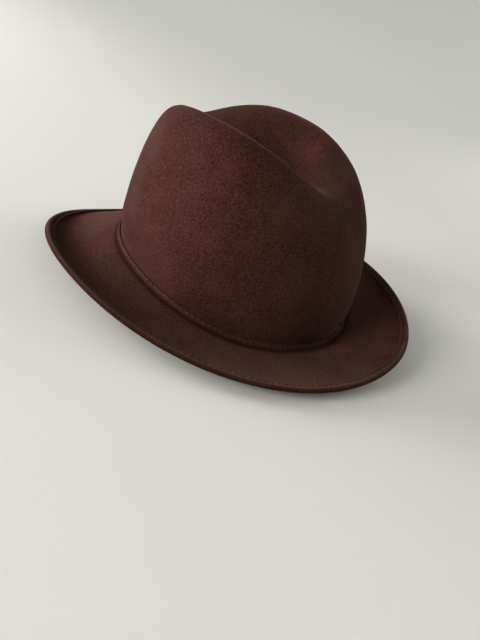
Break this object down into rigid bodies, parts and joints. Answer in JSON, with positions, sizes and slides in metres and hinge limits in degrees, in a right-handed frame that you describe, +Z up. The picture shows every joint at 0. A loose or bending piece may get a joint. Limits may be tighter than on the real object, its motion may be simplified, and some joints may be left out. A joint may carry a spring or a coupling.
{
  "type": "trilby",
  "caption": "Soft brown felt trilby with a creased crown, a snap brim turned down in front and up behind, and a stitched welt edge.",
  "frame": {"origin": "on the surface the hat lies on, under the middle of its box", "axes": "-Y is the front of the hat, +X is the wearer's left, +Z is up"},
  "size_m": [0.2796, 0.2864, 0.1336],
  "materials": {
    "crown_felt": "napped wool felt, dark reddish brown, matt with a soft sheen",
    "brim_felt": "napped wool felt, dark reddish brown, pressed a little smoother than the crown",
    "welt_felt": "turned and stitched felt edge, slightly rubbed along its outer corner"
  },
  "bodies": {
    "root": {"crown": "crown_felt", "brim": "brim_felt", "edge_welt": "welt_felt"}
  },
  "joints": []
}
